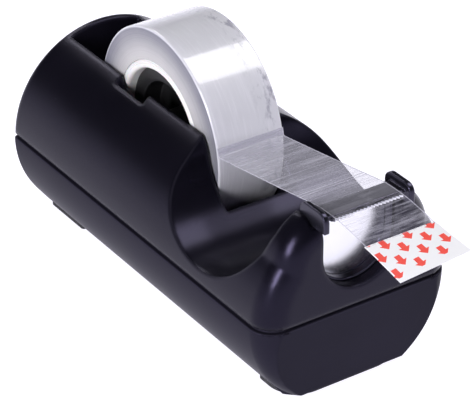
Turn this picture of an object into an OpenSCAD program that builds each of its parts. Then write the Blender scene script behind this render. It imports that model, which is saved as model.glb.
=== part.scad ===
// Desk tape dispenser: a weighted barrel-shaped body with a tape roll on a
// lift-out hub, a serrated cutter at the front and a pull tab on the tape's end.
// Millimetres. The cutter faces -Y, +Z is up, and the origin is on the table at
// the middle of the whole footprint, the free end of the tape included.

/* [Body] */
// Length of the body, without the tape that hangs over its front
body_length = 113.6; // [105:0.1:140]
// Diameter of the barrel that the body is cut from
barrel_diameter = 54; // [48:0.5:66]
// Height of the barrel's axis above the table
axis_height = 23.4; // [22:0.1:27]
// Thickness of the moulded walls
wall = 2.2; // [1.8:0.1:2.6]
// Radius round the front end of the body
front_round = 6.5; // [4:0.5:8]
// Radius round the back end of the body
rear_round = 1.2; // [0.5:0.1:3]

/* [Seam] */
// Height of the top edge of the base
seam_height = 23.6; // [22:0.1:26]
// Height of the dark gap between base and shell
seam_gap = 0.9; // [0.6:0.1:1.5]
// How far the base stands proud of the shell
seam_proud = 0.2; // [0:0.1:0.4]
// Thickness of the lip that closes the gap from inside
lip_thickness = 0.9; // [0.8:0.1:1]

/* [Valley] */
// Radius of the scoop between the roll and the cutter
valley_radius = 20.2; // [18:0.1:21]
// Height of the lowest line of the scoop
valley_floor = 28.2; // [27:0.1:32]
// Radius where the scoop turns over into the top of the barrel
valley_round = 8; // [5:0.5:10]
// Distance from the front face to the scoop's front edge
valley_front = 8.1; // [8:0.1:12]

/* [Well] */
// Gap between the side of the roll and the side of the well
well_side_gap = 0.5; // [0.4:0.1:1]
// Gap between the roll and the curved floor of the well
well_floor_gap = 3; // [2:0.1:4]
// Thickness of the back wall of the well
well_back_wall = 2.4; // [2:0.1:4]
// Distance from the middle of the scoop to the middle of the roll
roll_reach = 42.8; // [42:0.1:56]
// Distance from the front edge of the well to the middle of the roll
well_front_reach = 30.8; // [30:0.1:40]
// Radius of the finger notch at the mouth of each axle slot
notch_radius = 5.6; // [4:0.1:7]

/* [Tape] */
// Width of the tape
tape_width = 19; // [15:0.5:25]
// Outside diameter of the roll
roll_diameter = 53; // [44:0.2:54]
// Height of the middle of the roll above the table
roll_height = 39.7; // [38:0.1:44]
// Outside diameter of the core that the tape is wound on
core_diameter = 35.8; // [30:0.2:40]
// Thickness of the core
core_wall = 2.3; // [1.5:0.1:3]
// Thickness of the tape's free length, with its adhesive
strip_thickness = 0.3; // [0.2:0.05:0.5]
// Length of clear tape between the teeth and the pull tab
strip_overhang = 11.8; // [8:0.1:20]
// Length of the pull tab
tab_length = 12.7; // [8:0.1:20]

/* [Hub] */
// Diameter of the steel axle
axle_diameter = 3.6; // [3:0.1:5]
// Sliding clearance between the axle and its slots
slot_clearance = 0.15; // [0.1:0.05:0.3]
// Running clearance between the axle and the hub
axle_clearance = 0.05; // [0.03:0.01:0.08]
// Clearance between the hub and the core
hub_clearance = 0.1; // [0.05:0.05:0.3]
// How far the hub lies inside the end of the core
hub_recess = 2.6; // [1:0.1:4]
// Thickness of the hub's rim
hub_rim = 3.9; // [2:0.1:5]
// Angle of the slots that the axle lifts out of, from level
slot_angle = 57; // [55:1:65]

/* [Cutter] */
// How much wider the finger throat is than the tape on each side
throat_margin = 0.9; // [0.5:0.1:1.5]
// Depth of the throat behind the front face
throat_depth = 5.6; // [5:0.1:5.9]
// Thickness of the holder's lining round the throat
lining = 1.2; // [1:0.1:1.6]
// How far the holder's lining lies behind the front face
lining_setback = 3.3; // [2:0.1:4]
// Height of the landing bar above the top of the barrel
bar_rise = 0.9; // [0.5:0.1:2]
// Thickness of the ears on either side of the bar
ear_thickness = 1.5; // [1:0.1:2.5]
// Height of the ears above the bar
ear_rise = 1.8; // [1:0.1:4]
// Thickness of the steel of the cutter
blade_thickness = 0.5; // [0.3:0.1:0.8]
// How far the teeth reach in front of the front face
tooth_reach = 2.2; // [1.5:0.1:4]
// Distance between two teeth
tooth_pitch = 1; // [0.8:0.1:2]
// Length of each tooth
tooth_length = 0.9; // [0.6:0.1:1.5]

/* [Feet and weight] */
// Height of the steps that the foot pads are glued to
step_height = 1.2; // [0.8:0.1:2]
// Thickness of the rubber foot pads
pad_thickness = 1.1; // [0.8:0.1:2]
// Width of the foot pads
pad_width = 33.8; // [28:0.2:36]
// Length of the front foot pad
front_pad_length = 12.3; // [10:0.1:18]
// Length of the rear foot pad
rear_pad_length = 16; // [10:0.1:20]
// Height of the cast weight inside the base
weight_height = 12.4; // [8:0.1:14]
// Diameter of the shanks of the screws
screw_diameter = 2.8; // [2.4:0.1:3.2]

/* [Hidden] */
$fn = 96;

// Main lines along the body
overhang = tooth_reach + strip_overhang + tab_length;
rear_y = (body_length + overhang) / 2;
front_y = rear_y - body_length;

// Barrel, seam and base
base_r = barrel_diameter / 2;
shell_r = base_r - seam_proud;
top_z = axis_height + shell_r;
tub_bottom = pad_thickness + step_height;
shell_bottom = seam_height + seam_gap;
lip_r = base_r - wall + lip_thickness;
lip_top = shell_bottom + 1.5;
lip_gap = 0.15;
lip_inset = 1.3;
base_draft = 2.6;
sole_round = 16;
front_pad_round = 8;
front_pad_setback = 4.8;
rear_pad_setback = 0.5;
tangent_angle = 37.5;
tangent_x = base_r * cos(tangent_angle);
tangent_z = axis_height - base_r * sin(tangent_angle);
sole_half = tangent_x - (tangent_z - tub_bottom) * tan(tangent_angle);

// Scoop, well and roll
valley_y = front_y + valley_front + valley_radius;
valley_z = valley_floor + valley_radius;
round_z = top_z - valley_round;
round_y = valley_y + sqrt(pow(valley_radius + valley_round, 2) - pow(valley_z - round_z, 2));
turn_angle = atan2(valley_z - round_z, valley_y - round_y);
roll_r = roll_diameter / 2;
well_back = rear_y - well_back_wall;
roll_y = valley_y + roll_reach;
well_front = roll_y - well_front_reach;
well_half = tape_width / 2 + well_side_gap;
shoulder_drop = 18.4;
well_shoulder = roll_height - shoulder_drop;
well_rear_shelf = lip_top + lip_gap + wall + 0.1;
wall_edge_z = axis_height + sqrt(pow(shell_r, 2) - pow(well_half, 2));
notch_rise = 1.3;
notch_shift = 3.5;
notch_z = wall_edge_z + notch_rise;
notch_y = roll_y + (notch_z - roll_height) / tan(slot_angle) + notch_shift;
slot_depth = wall + 0.4;

// Hub and axle
axle_r = axle_diameter / 2;
slot_r = axle_r + slot_clearance;
core_r = core_diameter / 2;
bore_r = core_r - core_wall;
hub_r = bore_r - hub_clearance;
hub_half = tape_width / 2 - hub_recess;
web_half = 1.5;
boss_r = axle_r + 2.2;
boss_half = tape_width / 2 - 0.4;
axle_half = well_half + slot_depth - 0.3;

// Cutter
throat_radius = tape_width / 2 + throat_margin;
bar_z = top_z + bar_rise;
ear_in = throat_radius + 0.8;
ear_out = ear_in + ear_thickness;
ear_top = bar_z + ear_rise;
ear_front = front_y - 2.5;
ear_back = front_y + valley_front - 0.8;
ear_round = 2.4;
ear_foot = top_z - 2.2;
throat_z = top_z - 10;
bar_back = front_y + 4.9;
bar_front = front_y - 0.8;
apron_y = front_y + throat_depth;
flange_angle = 13;
flange_z = ear_foot + 0.6;
flange_tip = front_y - tooth_reach;
brow_r = 14;
brow_x = 7.5;
brow_z = bar_z - 0.3 - brow_r;
fit_gap = 0.1;

// Screws and their bosses
screw_r = screw_diameter / 2;
boss_wall = 1.9;
post_r = screw_r + boss_wall;
post_x = well_half + wall + 1;
post_rows = [front_y + 11.5, rear_y - 10.5];
post_top = 14;
head_r = screw_r + 1.3;
head_height = 1.6;
screw_grip = 8;
weight_rows = [front_y + 24, rear_y - 6.8];
weight_base = tub_bottom + wall + 0.2;
weight_gap = 0.4;
weight_front_gap = 6;
weight_rear_gap = 3.4;
weight_boss_height = 6;
head_recess = 2;

shell_black = [0.13, 0.13, 0.16];
gloss_black = [0.05, 0.05, 0.06];

// ---- Shared shapes ----

// Points along an arc in Y and Z, from angle a0 to a1 in equal steps
function arc(y, z, r, a0, a1, steps) = [for (i = [0 : steps])
    [y + r * cos(a0 + (a1 - a0) * i / steps), z + r * sin(a0 + (a1 - a0) * i / steps)]];

// An outline in Y and Z, made into a solid across the body
module across(width) {
    rotate([90, 0, 90]) linear_extrude(width, center = true) children();
}

// An outline in X and Z, made into a solid from y0 to y1
module along(y0, y1) {
    translate([0, y1, 0]) rotate([90, 0, 0]) linear_extrude(y1 - y0) children();
}

// A round bar across the body
module cross_bar(r, half, y, z) {
    translate([-half, y, z]) rotate([0, 90, 0]) cylinder(r = r, h = 2 * half);
}

// A drum lying along Y with rounded ends
module drum(r, y0, y1, round0, round1, x = 0, z = axis_height) {
    length = y1 - y0;
    translate([x, y0, z]) rotate([-90, 0, 0]) rotate_extrude() union() {
        translate([0, round0]) square([r, length - round0 - round1]);
        square([r - round0, length]);
        translate([0, length / 2]) square([r - round1, length / 2]);
        intersection() {
            square([r, length]);
            union() {
                translate([r - round0, round0]) circle(round0);
                translate([r - round1, length - round1]) circle(round1);
            }
        }
    }
}

// A flat plate with one radius at its front corners and one at its back corners
module plate(half, y0, y1, r0, r1, z0, z1) {
    translate([0, 0, z0]) linear_extrude(z1 - z0) union() {
        translate([-half, y0 + r0]) square([2 * half, y1 - y0 - r0 - r1]);
        translate([-half + r0, y0]) square([2 * (half - r0), r0 + 0.01]);
        translate([-half + r1, y1 - r1 - 0.01]) square([2 * (half - r1), r1 + 0.01]);
        for (side = [-1, 1]) {
            translate([side * (half - r0), y0 + r0]) circle(r0);
            translate([side * (half - r1), y1 - r1]) circle(r1);
        }
    }
}

// Everything between two heights
module slab(z0, z1) {
    translate([-100, -150, z0]) cube([200, 300, z1 - z0]);
}

// A post standing at each of the four shell screws
module posts(r, z0, z1) {
    for (side = [-1, 1], y = post_rows)
        translate([side * post_x, y, z0]) cylinder(r = r, h = z1 - z0);
}

// ---- Body ----

// The scoop's side outline, grown by a margin for the skin below it
function valley_outline(grow) = concat([[round_y, top_z + 30]],
    arc(round_y, round_z, valley_round - grow, 90, turn_angle, 10),
    arc(valley_y, valley_z, valley_radius + grow, turn_angle - 180, -180, 40),
    [[valley_y - valley_radius - grow, top_z + 30]]);

module valley(grow) {
    across(200) polygon(valley_outline(grow));
}

// The space that the roll drops into, grown by a margin for its walls
module well(grow) {
    half = well_half + grow;
    translate([-half, well_front - grow, well_shoulder - grow])
        cube([2 * half, roll_y - well_front + grow, 90]);
    translate([-half, roll_y - 1, well_rear_shelf - grow])
        cube([2 * half, well_back - roll_y + 1 + grow, 90]);
    cross_bar(roll_r + well_floor_gap + grow, half, roll_y, roll_height);
}

// One slot and its finger notch in each side wall of the well
module axle_slots() {
    for (side = [-1, 1])
        translate([side * (well_half + slot_depth / 2), 0, 0]) {
            across(slot_depth) union() {
                translate([roll_y, roll_height]) circle(slot_r);
                translate([roll_y, roll_height]) rotate(slot_angle)
                    translate([0, -slot_r]) square([40, 2 * slot_r]);
                translate([notch_y, notch_z]) circle(notch_radius);
            }
        }
}

// A U outline with its round end down, open at the top
module u_outline(half, top) {
    intersection() {
        translate([0, throat_z]) circle(half);
        translate([-half, throat_z - half]) square([2 * half, half]);
    }
    translate([-half, throat_z - 0.01]) square([2 * half, top - throat_z + 0.01]);
}

// The two rounded shoulders that carry the landing bar
module brow() {
    for (side = [-1, 1])
        drum(brow_r, front_y, valley_y, front_round - 0.5, 1, side * brow_x, brow_z);
    intersection() {
        translate([-brow_x, front_y, brow_z])
            cube([2 * brow_x, valley_y - front_y, brow_r]);
        cross_bar(brow_r * 2, brow_x, front_y + brow_r * 2, brow_z);
    }
}

// The pockets at the front: the open throat, the seat of the holder and its ears
module holder_pocket() {
    along(front_y - 5, front_y + lining_setback)
        u_outline(throat_radius + 0.5, top_z + 20);
    along(front_y + lining_setback - 0.01, apron_y + blade_thickness + fit_gap)
        u_outline(throat_radius + lining + fit_gap, top_z + 20);
    ear_cut = ear_out + fit_gap;
    translate([-ear_cut, front_y - 5, ear_foot - fit_gap])
        cube([2 * ear_cut, valley_front + 6, 30]);
}

// The inside of the shell, which the walls of the scoop, well and throat cross
module shell_cavity() {
    difference() {
        drum(shell_r - wall, front_y + wall, rear_y - wall, front_round - wall, 0.5);
        valley(wall);
        well(wall);
        along(front_y - 1, apron_y + blade_thickness + wall)
            u_outline(throat_radius + lining + wall, top_z + 20);
        translate([-ear_out - wall, front_y, ear_foot - wall])
            cube([2 * (ear_out + wall), valley_front + wall, 30]);
        posts(post_r, post_top, top_z);
    }
}

module upper_shell() {
    color(shell_black) difference() {
        union() {
            difference() {
                intersection() {
                    union() {
                        drum(shell_r, front_y, rear_y, front_round, rear_round);
                        brow();
                    }
                    slab(shell_bottom, top_z + 5);
                }
                shell_cavity();
            }
            intersection() {
                well(wall);
                drum(shell_r - wall / 2, front_y + wall, rear_y - wall / 2, 4, 0.5);
            }
            intersection() {
                posts(post_r, post_top, top_z);
                drum(shell_r - wall / 2, front_y + wall, rear_y - wall, 4, 0.5);
            }
        }
        valley(0);
        well(0);
        axle_slots();
        holder_pocket();
        intersection() {
            drum(lip_r + lip_gap, front_y + 1, rear_y - 1, front_round - 1, 0.5);
            slab(post_top + 1, lip_top + lip_gap);
            difference() {
                slab(post_top, lip_top + 1);
                well(wall);
                posts(post_r, 0, top_z);
            }
        }
        posts(screw_r, 0, post_top + screw_grip);
    }
}

// The outside of the base, or its inside with the wall taken off
module tub_form(inset) {
    low = tub_bottom + inset;
    intersection() {
        union() {
            drum(base_r - inset, front_y + inset, rear_y - inset,
                front_round - inset, max(0.5, rear_round - inset));
            intersection() {
                along(front_y + inset, rear_y - inset)
                    polygon([[-sole_half + inset, tub_bottom], [sole_half - inset, tub_bottom],
                        [tangent_x - inset, tangent_z], [0, axis_height],
                        [-tangent_x + inset, tangent_z]]);
                plate(tangent_x + 0.2 - inset, front_y + inset, rear_y - inset,
                    sole_round - inset, 1, 0, axis_height);
            }
        }
        across(200) polygon([[front_y + base_draft + inset, tub_bottom],
            [front_y + inset, seam_height], [front_y + inset, seam_height + 20],
            [rear_y - inset, seam_height + 20], [rear_y - inset, tub_bottom]]);
        slab(low, seam_height + 10);
    }
}

// The shape of a foot between two heights, at the front or at the rear
module foot_plate(front, z0, z1) {
    half = pad_width / 2;
    if (front)
        plate(half, front_y + front_pad_setback,
            front_y + front_pad_setback + front_pad_length, front_pad_round, 1, z0, z1);
    else
        plate(half, rear_y - rear_pad_setback - rear_pad_length,
            rear_y - rear_pad_setback, 1, 1, z0, z1);
}

module base_tub() {
    color(shell_black) difference() {
        union() {
            difference() {
                intersection() {
                    tub_form(0);
                    slab(0, seam_height);
                }
                tub_form(wall);
            }
            intersection() {
                difference() {
                    drum(lip_r, front_y + lip_inset, rear_y - lip_inset, front_round - lip_inset, 0.5);
                    drum(base_r - wall, front_y + wall, rear_y - wall, front_round - wall, 0.5);
                }
                slab(seam_height - 1, lip_top);
            }
            posts(post_r, tub_bottom + 0.5, post_top);
            for (y = weight_rows)
                translate([0, y, tub_bottom + 0.5])
                    cylinder(r = post_r, h = weight_boss_height);
            foot_plate(true, pad_thickness, tub_bottom + 0.1);
            foot_plate(false, pad_thickness, tub_bottom + 0.1);
        }
        posts(screw_r + 0.2, 0, post_top + 1);
        posts(head_r + 0.3, 0, tub_bottom + wall);
        for (y = weight_rows)
            translate([0, y, tub_bottom + wall]) cylinder(r = screw_r, h = 10);
    }
}

module ballast_block() {
    color([0.35, 0.35, 0.36]) difference() {
        intersection() {
            tub_form(wall + weight_gap);
            slab(weight_base, weight_base + weight_height);
            translate([-50, front_y + weight_front_gap, 0])
                cube([100, body_length - weight_front_gap - weight_rear_gap, 60]);
        }
        well(wall + weight_gap);
        posts(post_r + 0.5, 0, 60);
        for (y = weight_rows) {
            translate([0, y, 0]) cylinder(r = post_r + 0.3, h = tub_bottom + weight_boss_height + 0.7);
            translate([0, y, 0]) cylinder(r = screw_r + 0.2, h = 60);
            translate([0, y, weight_base + weight_height - head_recess])
                cylinder(r = head_r + 0.4, h = 9);
        }
    }
}

// One pan-head screw, its head's seat at z = 0 and its shank towards +Z
module screw(length) {
    translate([0, 0, -head_height]) difference() {
        cylinder(r = head_r, h = head_height);
        for (turned = [0, 90])
            rotate(turned) translate([-1.5, -0.3, -0.01]) cube([3, 0.6, 0.8]);
    }
    cylinder(r = screw_r, h = length);
}

module ballast_screws() {
    seat = weight_base + weight_height - head_recess;
    color("silver") for (y = weight_rows)
        translate([0, y, seat]) mirror([0, 0, 1]) screw(seat - tub_bottom - wall - 0.5);
}

module shell_screws() {
    seat = tub_bottom + wall;
    color("silver") for (side = [-1, 1], y = post_rows)
        translate([side * post_x, y, seat]) screw(post_top + screw_grip - 1 - seat);
}

module front_foot_pad() {
    color([0.04, 0.04, 0.04]) foot_plate(true, 0, pad_thickness);
}

module rear_foot_pad() {
    color([0.04, 0.04, 0.04]) foot_plate(false, 0, pad_thickness);
}

// ---- Cutter ----

// Height of the top of the sloping steel flange at a place along Y
function flange_top(y) = flange_z + blade_thickness / cos(flange_angle)
    + (apron_y + blade_thickness - y) * tan(flange_angle);

// Whatever lies on the sloping steel flange, its back lower edge at the origin
module at_flange() {
    translate([0, apron_y + blade_thickness, flange_z]) rotate([-flange_angle, 0, 0])
        children();
}

module cutter_holder() {
    color(gloss_black) difference() {
        union() {
            along(front_y + lining_setback, apron_y) difference() {
                u_outline(throat_radius + lining, ear_foot + 0.4);
                u_outline(throat_radius, ear_foot + 1);
            }
            for (side = [-1, 1])
                translate([side * (ear_in + ear_thickness / 2), 0, 0])
                    across(ear_thickness) ear_outline();
            across(2 * ear_in + 0.2) polygon([[bar_front, flange_top(bar_front)],
                [bar_front, bar_z + 0.15], [bar_back, bar_z],
                [ear_back, ear_foot], [apron_y + blade_thickness, ear_foot],
                [apron_y + blade_thickness, flange_top(apron_y + blade_thickness)]]);
        }
        at_flange() translate([-flange_half, -20, 0])
            cube([2 * flange_half, 20, blade_thickness]);
    }
}

// The side of an ear: a tab with two rounded top corners
module ear_outline() {
    translate([ear_front + ear_round, ear_top - ear_round]) circle(ear_round);
    translate([ear_back - ear_round, ear_top - ear_round]) circle(ear_round);
    translate([ear_front + ear_round, ear_foot])
        square([ear_back - ear_front - 2 * ear_round, ear_top - ear_foot]);
    translate([ear_front, ear_foot])
        square([ear_back - ear_front, ear_top - ear_round - ear_foot]);
}

// Serrated edge: points of the teeth and the roots between them, from left to right
tooth_count = floor(2 * throat_radius / tooth_pitch);
flange_half = tooth_count * tooth_pitch / 2;
function tooth_points(reach) = [for (i = [0 : 2 * tooth_count])
    [(i / 2 - tooth_count / 2) * tooth_pitch, i % 2 == 1 ? reach : reach - tooth_length]];

module cutter_blade() {
    flange_reach = (apron_y + blade_thickness - flange_tip) / cos(flange_angle);
    color([0.8, 0.8, 0.84]) union() {
        along(apron_y, apron_y + blade_thickness) union() {
            u_outline(throat_radius + lining - fit_gap, ear_foot);
            translate([-flange_half, throat_z])
                square([2 * flange_half, flange_z + blade_thickness / 2 - throat_z]);
        }
        at_flange() mirror([0, 1, 0]) linear_extrude(blade_thickness)
            polygon(concat([[-flange_half, 0]], tooth_points(flange_reach),
                [[flange_half, 0]]));
    }
}

// ---- Tape ----

// A band across the tape from point to point, its lower face on the points
module band(points) {
    across(tape_width) polygon(concat(points,
        [for (i = [len(points) - 1 : -1 : 0]) points[i] + [0, strip_thickness]]));
}

peel_rise = 5.3;
strip_root_z = roll_height + peel_rise;
strip_gap = 0.3;
strip_root_y = roll_y - strip_gap - sqrt(pow(roll_r, 2) - pow(strip_root_z - roll_height, 2));
tab_y = flange_tip - strip_overhang;
tab_sag = 1.3;
tab_z = bar_z - tab_sag;
tab_drop = 2.3;

module tape_strip() {
    color([0.9, 0.9, 0.95, 0.5]) band([[tab_y, tab_z], [flange_tip, bar_z + 0.1],
        [bar_front, bar_z + 0.15], [bar_back, bar_z], [strip_root_y, strip_root_z]]);
}

module pull_tab() {
    color("white") band([[tab_y - tab_length, tab_z - tab_drop], [tab_y, tab_z]]);
}

module ring(r, bore, half) {
    rotate([0, 90, 0]) difference() {
        translate([0, 0, -half]) cylinder(r = r, h = 2 * half);
        translate([0, 0, -half - 1]) cylinder(r = bore, h = 2 * half + 2);
    }
}

module at_roll() {
    translate([0, roll_y, roll_height]) children();
}

module tape_winding() {
    color([0.88, 0.88, 0.93, 0.8]) at_roll() ring(roll_r, core_r, tape_width / 2);
}

module tape_core() {
    color("white") at_roll() ring(core_r, bore_r, tape_width / 2);
}

// ---- Hub ----

// One half of the hub: a rim, a web at its middle and a boss round the axle
module hub_half_left(spigot) {
    bore = axle_r + axle_clearance;
    rotate([0, -90, 0]) difference() {
        union() {
            difference() {
                cylinder(r = hub_r, h = hub_half);
                translate([0, 0, web_half]) cylinder(r = hub_r - hub_rim, h = hub_half);
            }
            cylinder(r = boss_r, h = boss_half);
            if (spigot) translate([0, 0, -web_half + 0.3]) cylinder(r = boss_r - 1, h = web_half);
        }
        translate([0, 0, -5]) cylinder(r = bore, h = boss_half + 10);
        if (!spigot) translate([0, 0, -1]) cylinder(r = boss_r - 1, h = web_half - 0.2 + 1);
    }
}

module hub_left() {
    color(gloss_black) at_roll() hub_half_left(true);
}

module hub_right() {
    color(gloss_black) at_roll() mirror([1, 0, 0]) hub_half_left(false);
}

module hub_axle() {
    color("silver") cross_bar(axle_r, axle_half, roll_y, roll_height);
}

upper_shell();
base_tub();
ballast_block();
ballast_screws();
shell_screws();
front_foot_pad();
rear_foot_pad();
cutter_holder();
cutter_blade();
tape_strip();
pull_tab();
hub_axle();
hub_left();
hub_right();
tape_core();
tape_winding();
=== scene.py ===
"""A weighted desk tape dispenser with a roll of clear tape, seen in a plain studio.
Everything is in metres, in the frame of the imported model."""

import random
from math import cos, pi, radians, sin, sqrt

import bmesh
import bpy
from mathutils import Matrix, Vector
from mathutils.bvhtree import BVHTree


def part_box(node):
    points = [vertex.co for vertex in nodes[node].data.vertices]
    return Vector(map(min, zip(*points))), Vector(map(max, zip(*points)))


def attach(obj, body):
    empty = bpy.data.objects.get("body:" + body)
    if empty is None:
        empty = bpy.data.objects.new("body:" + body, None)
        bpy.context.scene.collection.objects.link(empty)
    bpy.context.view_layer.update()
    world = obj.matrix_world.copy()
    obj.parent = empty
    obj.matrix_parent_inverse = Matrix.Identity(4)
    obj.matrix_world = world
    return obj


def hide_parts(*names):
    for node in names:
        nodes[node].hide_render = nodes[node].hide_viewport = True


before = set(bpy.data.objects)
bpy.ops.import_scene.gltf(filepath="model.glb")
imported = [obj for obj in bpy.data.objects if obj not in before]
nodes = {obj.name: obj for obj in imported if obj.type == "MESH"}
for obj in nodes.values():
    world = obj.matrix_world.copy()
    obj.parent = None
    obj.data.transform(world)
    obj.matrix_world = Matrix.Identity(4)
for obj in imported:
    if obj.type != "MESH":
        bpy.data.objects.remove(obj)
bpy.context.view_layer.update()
scene = bpy.context.scene
random.seed(7)


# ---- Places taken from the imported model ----

winding_low, winding_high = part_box("tape_winding")
core_low, core_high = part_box("tape_core")
ROLL = (winding_low + winding_high) / 2
ROLL_R = (winding_high.z - winding_low.z) / 2
CORE_R = (core_high.z - core_low.z) / 2
HALF_TAPE = (winding_high.x - winding_low.x) / 2
tab_low, tab_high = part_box("pull_tab")
FILM_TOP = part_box("tape_strip")[1].z
HOLDER_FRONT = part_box("cutter_holder")[0].y
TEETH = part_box("cutter_blade")[0].y


# ---- Camera and lights ----

CAMERA_PLACE = (-0.3085, -0.44785, 0.3581)
CAMERA_TARGET = (0.0041, 0.01385, 0.02177)
LAMP_TARGET = Vector((0, 0, 0.03))
LAMP_DISTANCE = 1.0


def point_at(thing, place, target):
    thing.location = place
    thing.rotation_euler = (Vector(target) - Vector(place)).to_track_quat("-Z", "Y").to_euler()


def make_camera():
    lens = bpy.data.cameras.new("camera")
    lens.lens = 200.36
    lens.sensor_width = 36
    lens.sensor_fit = "HORIZONTAL"
    lens.clip_start, lens.clip_end = 0.01, 40
    camera = bpy.data.objects.new("camera", lens)
    scene.collection.objects.link(camera)
    point_at(camera, CAMERA_PLACE, CAMERA_TARGET)
    scene.camera = camera


def softbox(name, direction, width, height, power, colour=(1, 1, 1)):
    """A rectangular lamp that shines on the dispenser from a direction."""
    lamp = bpy.data.lights.new(name, "AREA")
    lamp.shape = "RECTANGLE"
    lamp.size, lamp.size_y = width, height
    lamp.energy = power
    lamp.color = colour
    box = bpy.data.objects.new(name, lamp)
    scene.collection.objects.link(box)
    point_at(box, LAMP_TARGET + Vector(direction).normalized() * LAMP_DISTANCE, LAMP_TARGET)


# ---- Finishes ----

class Wire:
    """A value that runs through a finish. Sums on it add the nodes that work them out."""

    def __init__(self, finish, socket):
        self.finish = finish
        self.socket = socket

    def math(self, kind, *values):
        return self.finish.node("ShaderNodeMath", {"operation": kind}, dict(enumerate(values)))

    def __add__(self, other):
        return self.math("ADD", self, other)

    __radd__ = __add__

    def __sub__(self, other):
        return self.math("SUBTRACT", self, other)

    def __rsub__(self, other):
        return self.math("SUBTRACT", other, self)

    def __mul__(self, other):
        return self.math("MULTIPLY", self, other)

    __rmul__ = __mul__

    def __pow__(self, other):
        return self.math("POWER", self, other)

    def below(self, other):
        return self.math("LESS_THAN", self, other)

    def above(self, other):
        return self.math("GREATER_THAN", self, other)

    def size(self):
        return self.math("ABSOLUTE", self)

    def folded(self, half):
        return self.math("WRAP", self, half, -half)

    def most(self, other):
        return self.math("MAXIMUM", self, other)

    def least(self, other):
        return self.math("MINIMUM", self, other)

    def ease(self, start, end):
        """0 before start and 1 after end, with a soft step between."""
        return self.finish.node("ShaderNodeMapRange", {"interpolation_type": "SMOOTHSTEP"},
                                {"Value": self, "From Min": start, "From Max": end})


class Finish:
    """A material with its node tree, and short ways to add nodes to it."""

    def __init__(self, name, **settings):
        self.material = bpy.data.materials.new(name)
        self.material.use_nodes = True
        self.tree = self.material.node_tree
        self.shader = self.tree.nodes["Principled BSDF"]
        self.set(**settings)

    def fill(self, socket, value):
        if isinstance(value, Wire):
            self.tree.links.new(value.socket, socket)
        elif isinstance(value, tuple) and len(value) == 3 and len(socket.default_value) == 4:
            socket.default_value = (*value, 1)
        else:
            socket.default_value = value

    def set(self, **values):
        """Sets or links the shader's own sockets: base_color stands for Base Color."""
        names = {socket.name.lower().replace(" ", "_"): socket for socket in self.shader.inputs}
        for name, value in values.items():
            self.fill(names[name], value)
        return self

    def node(self, kind, settings=None, sockets=None, output=0):
        made = self.tree.nodes.new(kind)
        for name, value in (settings or {}).items():
            setattr(made, name, value)
        for key, value in (sockets or {}).items():
            self.fill(made.inputs[key], value)
        return Wire(self, made.outputs[output])

    def place(self):
        return self.node("ShaderNodeTexCoord", output="Object")

    def axes(self):
        parts = self.tree.nodes.new("ShaderNodeSeparateXYZ")
        self.tree.links.new(self.place().socket, parts.inputs[0])
        return [Wire(self, parts.outputs[axis]) for axis in range(3)]

    def stretched(self, x, y, z):
        """Object coordinates with a scale for each axis, for streaks and lines."""
        return self.node("ShaderNodeVectorMath", {"operation": "MULTIPLY"},
                         {0: self.place(), 1: (x, y, z)})

    def from_axle(self):
        """The distance from the roll's own axis."""
        _, y, z = self.axes()
        y, z = y - ROLL.y, z - ROLL.z
        return (y * y + z * z) ** 0.5

    def rings(self, radius, scale, detail, roughness=0.5):
        """Noise that changes with the radius only."""
        return self.node("ShaderNodeTexNoise", {"noise_dimensions": "1D"},
                         {"W": radius, "Scale": scale, "Detail": detail, "Roughness": roughness})

    def noise(self, scale, detail=3.0, roughness=0.5, at=None):
        return self.node("ShaderNodeTexNoise", {},
                         {"Vector": at or self.place(), "Scale": scale, "Detail": detail,
                          "Roughness": roughness})

    def mix(self, mask, first, second):
        """One colour where mask is 0 and the other where it is 1."""
        return self.node("ShaderNodeMix", {"data_type": "RGBA"},
                         {0: mask, 6: first, 7: second}, output=2)

    def bump(self, height, depth, strength=1.0, over=None):
        sockets = {"Height": height, "Distance": depth, "Strength": strength}
        if over:
            sockets["Normal"] = over
        return self.node("ShaderNodeBump", {}, sockets)

    def soft_corners(self, radius):
        """Normals that turn gently over creases, as a moulded part's do."""
        return self.node("ShaderNodeBevel", {"samples": 6}, {"Radius": radius})

    def edge(self):
        """1 on the eased edges of a piece, 0 elsewhere."""
        return self.node("ShaderNodeAttribute", {"attribute_name": "eased"}, output="Fac")


VIOLET_SHEEN = (0.66, 0.60, 1.0)


def moulded(name, dark, light, roughness, grain, gloss, tint=VIOLET_SHEEN, soften=0.0006):
    """Moulded plastic: a fine spark-eroded grain, slow clouding, and polished edges that are
    painted lighter as a painted highlight.
    """
    finish = Finish(name, ior=1.5, specular_tint=tint, specular_ior_level=gloss)
    cloud = finish.noise(70, 2.0)
    fine = finish.noise(5200, 2.0, 0.6)
    scuffs = finish.noise(420, 4.0, 0.65, finish.stretched(1, 0.22, 1)).ease(0.62, 0.8)
    highlit_and_polished_edge = finish.edge()
    colour = finish.mix(cloud, dark, light)
    # Painted highlight: the eased edges are painted lighter, as if they caught the light; the
    # roughness below makes them polished.
    colour = finish.mix(highlit_and_polished_edge * 0.35, colour, tuple(channel * 2.2 + 0.01 for channel in light))
    uneven = (cloud - 0.5) * 0.07 + (fine - 0.5) * 0.05 + scuffs * 0.05 - highlit_and_polished_edge * 0.06
    finish.set(base_color=colour, roughness=roughness + uneven,
               normal=finish.bump(fine, 0.00002, grain, finish.soft_corners(soften)))
    return finish.material


def steel(name, colour, roughness, along):
    """Rolled or ground steel with fine lines; along is the pattern's scale on each axis."""
    finish = Finish(name, metallic=1.0)
    lines = finish.noise(1.0, 4.0, 0.7, finish.stretched(*along))
    blotch = finish.noise(160, 3.0)
    dark = tuple(channel * 0.82 for channel in colour)
    finish.set(base_color=finish.mix(blotch, dark, colour),
               roughness=roughness + (lines - 0.5) * 0.12 + (blotch - 0.5) * 0.06,
               normal=finish.bump(lines, 0.000012, 0.35))
    return finish.material


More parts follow.
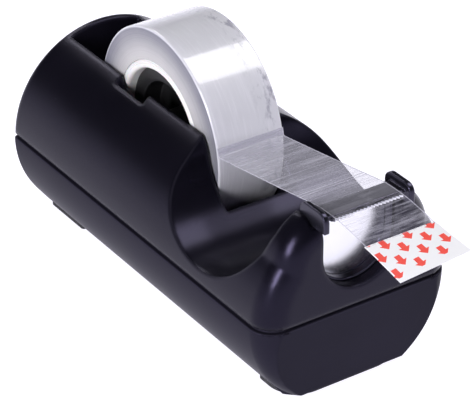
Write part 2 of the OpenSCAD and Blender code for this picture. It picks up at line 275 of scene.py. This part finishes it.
def rubber():
    """Matt black rubber with a little dust."""
    finish = Finish("foot_rubber", ior=1.5)
    crumb = finish.noise(3200, 3.0, 0.7)
    dust = finish.noise(190, 4.0, 0.6).ease(0.5, 0.75)
    finish.set(base_color=finish.mix(dust * 0.5, (0.02, 0.02, 0.022), (0.07, 0.068, 0.07)),
               roughness=0.78 + (crumb - 0.5) * 0.2, normal=finish.bump(crumb, 0.00004, 0.5))
    return finish.material


def cast_iron():
    """Rough sand-cast iron with spots of rust."""
    finish = Finish("cast_weight", metallic=0.85)
    sand = finish.noise(1500, 5.0, 0.7)
    rust = finish.noise(90, 5.0, 0.6).ease(0.55, 0.7)
    finish.set(base_color=finish.mix(rust, (0.2, 0.2, 0.21), (0.16, 0.1, 0.07)),
               roughness=0.62 + sand * 0.25, normal=finish.bump(sand, 0.0001, 0.6))
    return finish.material


def wound_tape():
    """Many turns of clear film: milky, with rings on the sides, painted shade on the sides that
    deepens outwards, and patches where it lifts.
    """
    finish = Finish("wound_tape", ior=1.48, subsurface_weight=0.35, subsurface_scale=0.004,
                    subsurface_radius=(1.0, 0.9, 1.0), coat_roughness=0.08)
    x = finish.axes()[0]
    radius = finish.from_axle()
    outside = radius.ease(ROLL_R - 0.0007, ROLL_R - 0.0003)
    inside = 1 - outside
    rings = finish.rings(radius, 2600, 4.0, 0.7)
    bands = finish.rings(radius, 420, 2.0)
    depth = radius.ease(CORE_R, ROLL_R)
    haze = finish.noise(60, 3.0)
    # Painted shade: the side face is pale near the core and darker and bluer towards the outside,
    # where the dark well shows through the film.
    side = finish.mix(depth * 0.7 + haze * 0.3, (0.58, 0.57, 0.555), (0.10, 0.105, 0.15))
    side = finish.mix(rings.ease(0.35, 0.7) * 0.09, side, (0.8, 0.8, 0.84))
    lifted = finish.noise(340, 5.0, 0.62, finish.stretched(1.6, 0.8, 0.8)).ease(0.5, 0.66)
    lifted = lifted * x.ease(0.2 * HALF_TAPE, 0.86 * HALF_TAPE)
    streaks = finish.noise(1.0, 3.0, 0.6, finish.stretched(1500, 90, 90))
    outer = finish.mix(haze, (0.57, 0.57, 0.61), (0.68, 0.68, 0.72))
    outer = finish.mix(streaks.ease(0.45, 0.8) * 0.3, outer, (0.84, 0.84, 0.88))
    outer = finish.mix(lifted * 0.75, outer, (0.26, 0.26, 0.32))
    relief = (rings + bands * 0.5) * inside + (streaks * 0.35 + lifted * 0.6) * outside
    finish.set(base_color=finish.mix(outside, side, outer),
               roughness=0.34 - outside * 0.14 + (haze - 0.5) * 0.1 + rings * 0.06,
               coat_weight=outside * 0.8, normal=finish.bump(relief, 0.00006, 0.5))
    return finish.material


def core_plastic():
    """Off-white plastic with faint turning marks, and eased edges painted lighter as a painted
    highlight.
    """
    finish = Finish("core_plastic", ior=1.49, subsurface_weight=0.15, subsurface_scale=0.002)
    turning = finish.rings(finish.from_axle(), 1900, 3.0, 0.6)
    speck = finish.noise(900, 3.0)
    cloud = finish.noise(120, 2.0)
    colour = finish.mix(cloud, (0.79, 0.775, 0.74), (0.88, 0.87, 0.845))
    # Painted highlight: the eased edges are painted lighter.
    colour = finish.mix(finish.edge() * 0.4, colour, (0.93, 0.92, 0.9))
    finish.set(base_color=colour, roughness=0.4 + (speck - 0.5) * 0.12,
               normal=finish.bump(turning + speck * 0.4, 0.00005, 0.45))
    return finish.material


# Places along Y on the free tape
STUCK_FROM = -0.0388       # where it meets the landing
STUCK_TO = -0.0443         # the teeth
CREASES = ((-0.0306, 0.00012), (-0.0318, 0.0001))  # each with half its width
FILM_RIM = 0.00022         # the milky cut edges


def clear_film():
    """Clear tape: it lets light through, hazes a little and is streaked across its width.
    Where it is stuck to the landing and past the teeth it is clearer."""
    finish = Finish("clear_film", ior=1.48)
    x, y, _ = finish.axes()

    fine = finish.noise(1.0, 3.0, 0.65, finish.stretched(55, 2100, 2100))
    broad = finish.noise(1.0, 2.0, 0.5, finish.stretched(30, 420, 420))
    smudge = finish.noise(260, 4.0, 0.6)
    first, second = [(y - place).size().below(half_width) for place, half_width in CREASES]
    creases = first.most(second)
    stuck = y.below(STUCK_FROM) * y.above(STUCK_TO)
    past_teeth = y.below(STUCK_TO)
    haze = 0.23 + fine.ease(0.42, 0.75) * 0.2 + broad.ease(0.4, 0.7) * 0.12
    free_end = finish.noise(1.0, 4.0, 0.7, finish.stretched(110, 1100, 1100)).ease(0.44, 0.62)
    haze = haze * (1 - stuck * 0.6) * (1 - past_teeth * (0.93 - free_end * 0.5))
    edges = x.size().above(HALF_TAPE - FILM_RIM)
    alpha = haze + creases * 0.5 + edges * 0.35 + smudge.ease(0.55, 0.8) * 0.08
    finish.set(base_color=finish.mix(fine, (0.52, 0.51, 0.61), (0.74, 0.73, 0.82)),
               roughness=0.14 + smudge * 0.16 + fine * 0.08,
               alpha=alpha.least(0.95),
               normal=finish.bump(fine + broad * 1.4 + creases, 0.00005, 0.55))
    return finish.material


ARROW_PITCH = 0.00665      # from one arrow to the next across the tab
ARROW_ROW = 0.00298        # from one row to the next; each row is shifted by half a pitch
ARROW_SLANT = 0.085        # the cut end of the film is this far out of square
ARROW_HALF = 0.0017        # half of an arrow's length
SHAFT_HALF = 0.00078       # half of its shaft's width
FIRST_ARROW = (0.0041, 0.0006)  # its place in from the left side and from the stuck end
PRINT_FROM, PRINT_TO = -0.0012, 0.0108


def tab_film():
    """White film printed with solid red arrows that point the way to pull. It also glows faintly, a
    painted light for the floor's light coming through it.
    """
    # Painted light: a faint emission makes the film glow as if light came through it from below.
    finish = Finish("tab_film", ior=1.46, emission_strength=0.05)
    x, y, _ = finish.axes()
    from_end = tab_high.y - y + x * ARROW_SLANT

    def arrows(shift_x, shift_y):
        across = (x + (HALF_TAPE - FIRST_ARROW[0] + shift_x)).folded(ARROW_PITCH / 2).size()
        along = (from_end - (FIRST_ARROW[1] + shift_y)).folded(ARROW_ROW)
        tail = across.below(SHAFT_HALF) * along.above(-ARROW_HALF) * along.below(0.00012)
        head = across.below((ARROW_HALF - along) * 0.98) * along.above(0.00006)
        return tail.most(head)

    printed = from_end.above(PRINT_FROM) * from_end.below(PRINT_TO)
    ink = arrows(0, 0).most(arrows(ARROW_PITCH / 2, ARROW_ROW)) * printed
    speck = finish.noise(1500, 3.0, 0.6)
    cloud = finish.noise(150, 3.0)
    paper = finish.mix(cloud, (0.82, 0.82, 0.845), (0.90, 0.90, 0.92))
    red = finish.mix(speck, (0.80, 0.055, 0.04), (0.90, 0.10, 0.075))
    print_colour = finish.mix(ink, paper, red)
    # Painted glow: the print's colours are also emitted.
    finish.set(base_color=print_colour, emission_color=print_colour,
               roughness=0.3 + speck * 0.1 + ink * 0.12,
               normal=finish.bump(ink * 0.7 + speck * 0.3 + cloud * 0.8, 0.00002, 0.35))
    return finish.material


def pale_floor():
    """A lit table: it glows a little, so that shadows on it stay faint."""
    finish = Finish("pale_floor", roughness=0.9, specular_ior_level=0.0, emission_strength=1.06)
    soft = finish.noise(3, 2.0)
    finish.set(base_color=finish.mix(soft, (0.30, 0.30, 0.31), (0.34, 0.34, 0.35)),
               emission_color=finish.mix(soft, (0.9, 0.88, 1.0), (0.92, 0.9, 1.0)))
    return finish.material


# ---- Ways to make pieces ----

def finished(name, bm, finish, body, stands_for, sharp, even=False):
    """Turns a bmesh into a named piece that rides on a body and stands for a CAD node.
    Even shading keeps flat faces flat beside their rounded edges."""
    mesh = bpy.data.meshes.new(name)
    bm.to_mesh(mesh)
    bm.free()
    piece = bpy.data.objects.new(name, mesh)
    scene.collection.objects.link(piece)
    mesh.materials.append(finish)
    mesh.shade_smooth()
    mesh.set_sharp_from_angle(angle=radians(sharp))
    if even:
        level = piece.modifiers.new("even_shading", "WEIGHTED_NORMAL")
        level.keep_sharp = True
        level.weight = 60
    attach(piece, body)
    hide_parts(stands_for)


SHARP = 34.0               # edges turned further than this, in degrees, are rounded
JOIN_DISTANCE = 0.000002
FLAT_WITHIN = 0.5


def merged_copy(node):
    """A CAD node's mesh with its loose triangles joined and its flat faces made whole."""
    bm = bmesh.new()
    bm.from_mesh(nodes[node].data)
    bmesh.ops.remove_doubles(bm, verts=bm.verts, dist=JOIN_DISTANCE)
    bmesh.ops.dissolve_limit(bm, angle_limit=radians(FLAT_WITHIN), verts=bm.verts, edges=bm.edges)
    return bm


def ease_edges(bm, reach, steps, only):
    """Rounds the hard edges, and marks the faces that this adds."""
    hard = [edge for edge in bm.edges
            if len(edge.link_faces) == 2 and edge.calc_face_angle(0) > radians(SHARP)
            and (only is None or only(edge))]
    surface = BVHTree.FromBMesh(bm)
    mark = bm.faces.layers.float.new("eased")
    made = bmesh.ops.bevel(bm, geom=hard, offset=reach, offset_type="OFFSET", affect="EDGES",
                           segments=steps, profile=0.5, material=-1, clamp_overlap=False,
                           loop_slide=True)
    for face in made["faces"]:
        face[mark] = 1.0
    for vert in bm.verts:  # corners that the rounding threw off the surface go back to it
        near, _, _, gap = surface.find_nearest(vert.co)
        if gap > reach * 0.75:
            vert.co = near


def eased_node(node, name, reach, finish, body, steps=2, only=None):
    """Makes a piece of a CAD node's own shape with rounded edges."""
    bm = merged_copy(node)
    ease_edges(bm, reach, steps, only)
    finished(name, bm, finish, body, node, SHARP, even=True)


def turned(profile, steps=144):
    """A ring turned about the roll's own axis, from (x, radius) points given in order."""
    bm = bmesh.new()
    points = [bm.verts.new((x, ROLL.y, ROLL.z + radius)) for x, radius in profile]
    rim = [bm.edges.new((points[i], points[(i + 1) % len(points)])) for i in range(len(points))]
    bmesh.ops.spin(bm, geom=points + rim, cent=ROLL, axis=(1, 0, 0), dvec=(0, 0, 0),
                   angle=2 * pi, steps=steps, use_merge=True)
    bmesh.ops.remove_doubles(bm, verts=bm.verts, dist=0.0000005)
    bmesh.ops.recalc_face_normals(bm, faces=bm.faces)
    return bm


def paint(node, finish):
    """Gives a CAD node that keeps its own shape a finish."""
    node = nodes[node]
    node.data.materials.clear()
    node.data.materials.append(finish)


# ---- Finishes in use ----

shell_plastic = moulded("shell_plastic", (0.0035, 0.0032, 0.0056), (0.0055, 0.005, 0.0088),
                        roughness=0.24, grain=0.2, gloss=0.22, soften=0.0016)
base_plastic = moulded("base_plastic", (0.014, 0.013, 0.0205), (0.019, 0.0175, 0.029),
                       roughness=0.4, grain=0.22, gloss=0.035)
gloss_black = moulded("holder_plastic", (0.006, 0.006, 0.008), (0.01, 0.01, 0.014),
                      roughness=0.2, grain=0.08, gloss=0.5)
hub_black = moulded("hub_plastic", (0.012, 0.012, 0.013), (0.02, 0.02, 0.021),
                    roughness=0.42, grain=0.3, gloss=0.5, tint=(1, 1, 1))
blade_steel = steel("blade_steel", (0.86, 0.86, 0.9), 0.24, (60, 4200, 4200))
axle_steel = steel("axle_steel", (0.62, 0.62, 0.64), 0.3, (5200, 120, 120))
screw_steel = steel("screw_steel", (0.66, 0.67, 0.68), 0.34, (700, 700, 700))
foot_rubber = rubber()


# ---- Body ----

BASE_FLANK_TOP = 0.02  # the edges below are thin steps that stay as they are

eased_node("upper_shell", "barrel_shell", 0.00032, shell_plastic, "body")
eased_node("base_tub", "weighted_base", 0.0003, base_plastic, "body",
           only=lambda edge: min(vert.co.z for vert in edge.verts) > BASE_FLANK_TOP)
paint("ballast_block", cast_iron())
paint("ballast_screws", screw_steel)
paint("shell_screws", screw_steel)
eased_node("front_foot_pad", "front_foot", 0.00025, foot_rubber, "body")
eased_node("rear_foot_pad", "rear_foot", 0.00025, foot_rubber, "body")

# ---- Cutter ----

eased_node("cutter_holder", "tape_landing", 0.0003, gloss_black, "body", steps=3)
paint("cutter_blade", blade_steel)


# ---- Tape ----

def ribbon(path, thickness):
    """A band of film that follows (y, z) points across the tape's whole width."""
    bm = bmesh.new()
    bmesh.ops.create_grid(bm, x_segments=24, y_segments=1, size=1)
    bmesh.ops.delete(bm, geom=[v for v in bm.verts if v.co.y > 0], context="VERTS")
    for vert in bm.verts:
        vert.co = (vert.co.x * HALF_TAPE, path[0][0], path[0][1])
    front = list(bm.edges)  # the edge that grows along the path
    for (y0, z0), (y1, z1) in zip(path, path[1:]):
        grown = bmesh.ops.extrude_edge_only(bm, edges=front)["geom"]
        moved = [item for item in grown if isinstance(item, bmesh.types.BMVert)]
        bmesh.ops.translate(bm, vec=(0, y1 - y0, z1 - z0), verts=moved)
        front = [item for item in grown if isinstance(item, bmesh.types.BMEdge)
                 and all(vert in moved for vert in item.verts)]
    bmesh.ops.recalc_face_normals(bm, faces=bm.faces)
    bmesh.ops.solidify(bm, geom=bm.faces, thickness=thickness)
    bmesh.ops.recalc_face_normals(bm, faces=bm.faces)
    return bm


FILM = 0.0001              # the free tape, drawn twice as thick as real film
TAB_FILM = 0.00014
PEEL_RISES = (0.0068, 0.0062, 0.0056, 0.0051)  # above the axle, where the tape leaves the roll
SPAN_STEPS = 20
FREE_STEPS = 8
TAB_STEPS = 12
TAB_LAP = 0.0006           # how far the tab overlaps the tape
TAB_CURL = 0.0015          # how far its free corner lifts
TAB_SPREAD = 1.03          # it is a little wider than the tape
FILM_SHARP = 50            # edges turned further than this, in degrees, stay sharp
ROUND_SHARP = 40


def between(start, end, share):
    """The value a share of the way from start to end."""
    return start + (end - start) * share


def film_path():
    """From just under the top of the roll's front, round the peel, over the bar, to the tab."""
    reach = ROLL_R + 0.00012
    peel = [(ROLL.y - sqrt(reach * reach - rise * rise), ROLL.z + rise) for rise in PEEL_RISES]
    bar_back = (HOLDER_FRONT + 0.0074, FILM_TOP - 0.00033)
    bar_front = (HOLDER_FRONT + 0.0017, FILM_TOP - 0.00018)
    bar_middle = (between(bar_back[0], bar_front[0], 0.5),
                  between(bar_back[1], bar_front[1], 0.5) + 0.00003)
    tip = (TEETH, FILM_TOP - 0.00022)
    first = (peel[-1][0] - 0.00035, peel[-1][1] - 0.0003)
    span = [first]
    for step in range(1, SPAN_STEPS):
        share = step / SPAN_STEPS
        sag = 0.00012 * sin(pi * share)
        span.append((between(first[0], bar_back[0], share),
                     between(first[1], bar_back[1], share) - sag))
    free = []
    for step in range(1, FREE_STEPS + 1):
        share = step / FREE_STEPS
        free.append((between(tip[0], tab_high.y, share),
                     between(tip[1], tab_high.z - 0.0003, share ** 1.5)))
    return peel + span + [bar_back, bar_middle, bar_front, tip] + free


def make_film():
    """The free tape and the printed tab on its end, which curls up at one corner."""
    path = film_path()
    finished("clear_strip", ribbon(path, FILM), clear_film(), "body",
             "tape_strip", FILM_SHARP)
    last_y, last_z = path[-1]
    tab_path = [(last_y + TAB_LAP, last_z - 0.00002)]
    for step in range(TAB_STEPS + 1):
        share = step / TAB_STEPS
        tab_path.append((between(tab_high.y, tab_low.y, share),
                         last_z - 0.00004 + (tab_low.z + 0.0001 - last_z) * share ** 1.15))
    bm = ribbon(tab_path, TAB_FILM)
    for vert in bm.verts:
        share = max(0.0, (tab_high.y - vert.co.y) / (tab_high.y - tab_low.y))
        side = vert.co.x / HALF_TAPE / 2 + 0.5
        vert.co.x *= TAB_SPREAD
        vert.co.z += TAB_CURL * side * share ** 1.4
    finished("arrow_tab", bm, tab_film(), "body", "pull_tab", FILM_SHARP)


make_film()

# ---- Roll ----

WINDING_EDGE = 0.0005      # radius of the winding's outer corners
WINDING_STEPS = 26
CORE_WALL = 0.0023
# The core's end face: distances in from the side of the tape, and out from the bore.
CORE_FACE_FROM_BORE = ((0.0009, 0.0), (0.0003, 0.00018), (0.00005, 0.0005), (0.0, 0.0009),
                       (0.00004, 0.00125), (0.00022, 0.00142), (0.0001, 0.0016))
# The same, with distances in from the core's outside.
CORE_FACE_FROM_OUTSIDE = ((0.0, 0.0004), (0.0002, 0.0001), (0.0005, 0.00002))


def mirrored(half_profile):
    return [(-x, radius) for x, radius in reversed(half_profile)]


def make_roll():
    """The winding, whose turns don't end quite level, and the core inside it."""
    corner_x, corner_r = HALF_TAPE - WINDING_EDGE, ROLL_R - WINDING_EDGE
    right = [(HALF_TAPE - 0.00002 - random.random() * 0.00005,
              between(CORE_R, corner_r, turn / WINDING_STEPS)) for turn in range(WINDING_STEPS + 1)]
    right += [(corner_x + WINDING_EDGE * cos(radians(angle)),
               corner_r + WINDING_EDGE * sin(radians(angle))) for angle in (15, 35, 55, 75)]
    outside = [(HALF_TAPE * share, ROLL_R - 0.00001)
               for share in (0.93, 0.6, 0.2, -0.2, -0.6, -0.93)]
    finished("wound_film", turned(right + outside + mirrored(right)), wound_tape(), "roll",
             "tape_winding", ROUND_SHARP)

    bore = CORE_R - CORE_WALL
    face = [(HALF_TAPE - inward, bore + out) for inward, out in CORE_FACE_FROM_BORE]
    face += [(HALF_TAPE - inward, CORE_R - down) for inward, down in CORE_FACE_FROM_OUTSIDE]
    finished("white_core", turned(face + mirrored(face)), core_plastic(), "roll",
             "tape_core", ROUND_SHARP)


make_roll()
eased_node("hub_left", "hub_left_half", 0.0003, hub_black, "roll")
eased_node("hub_right", "hub_right_half", 0.0003, hub_black, "roll")
eased_node("hub_axle", "steel_axle", 0.00035, axle_steel, "axle")


# ---- Studio ----

def make_floor():
    """The table. It isn't part of the dispenser."""
    bm = bmesh.new()
    bmesh.ops.create_grid(bm, x_segments=8, y_segments=8, size=4)
    ground = bpy.data.meshes.new("studio_floor")
    bm.to_mesh(ground)
    bm.free()
    ground.materials.append(pale_floor())
    floor = bpy.data.objects.new("studio_floor", ground)
    scene.collection.objects.link(floor)


def studio_sky():
    """Pale near the horizon, darker overhead, so that gloss shows its form."""
    world = bpy.data.worlds.new("studio_sky")
    scene.world = world
    world.use_nodes = True
    sky = world.node_tree
    ramp = sky.nodes.new("ShaderNodeValToRGB")
    split = sky.nodes.new("ShaderNodeSeparateXYZ")
    where = sky.nodes.new("ShaderNodeTexCoord")
    sky.links.new(where.outputs["Generated"], split.inputs[0])
    sky.links.new(split.outputs["Z"], ramp.inputs[0])
    sky.links.new(ramp.outputs[0], sky.nodes["Background"].inputs[0])
    stops = ((0.06, (0.92, 0.9, 1.05, 1)), (0.3, (0.02, 0.02, 0.026, 1)))
    for stop, (height, colour) in zip(ramp.color_ramp.elements, stops):
        stop.position, stop.color = height, colour


make_camera()
make_floor()
softbox("key_softbox", (0.49, -0.1, 0.83), 0.5, 0.66, 6.5)
softbox("left_softbox", (-0.86, -0.36, 0.38), 0.12, 0.42, 8, (0.97, 0.95, 1.0))
softbox("rear_softbox", (0.1, 0.75, 0.65), 0.3, 0.3, 2)
studio_sky()
scene.view_settings.view_transform = "Standard"
